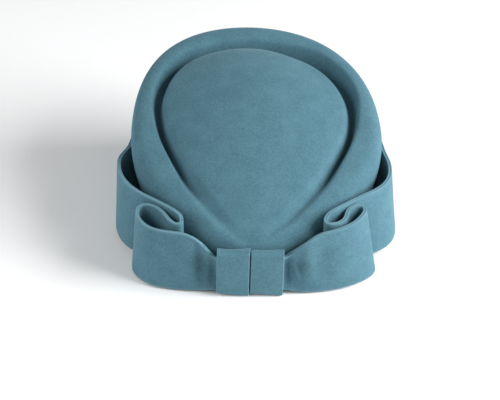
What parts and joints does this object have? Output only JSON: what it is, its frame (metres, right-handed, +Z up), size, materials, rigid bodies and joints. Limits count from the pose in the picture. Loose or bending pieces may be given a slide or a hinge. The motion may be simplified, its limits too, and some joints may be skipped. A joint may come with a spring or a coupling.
{
  "type": "felt hat with a bow",
  "caption": "Blocked felt hat with a sloping teardrop tip inside a rolled edge, and a folded felt bow round its low back.",
  "frame": {"origin": "middle of the bounding box of the whole hat, on the plane that its rim stands on", "axes": "+Z up, +Y to the front of the hat, -Y to the bow's knot, +X to the wearer's right"},
  "size_m": [0.2208, 0.2142, 0.1151],
  "materials": {
    "body_felt": "matt wool felt",
    "strip_felt": "matt wool felt",
    "wrap_felt": "matt wool felt"
  },
  "bodies": {
    "root": {"felt_body": "body_felt", "bow_left": "strip_felt", "bow_right": "strip_felt", "knot_wrap_left": "wrap_felt", "knot_wrap_right": "wrap_felt"}
  },
  "joints": []
}
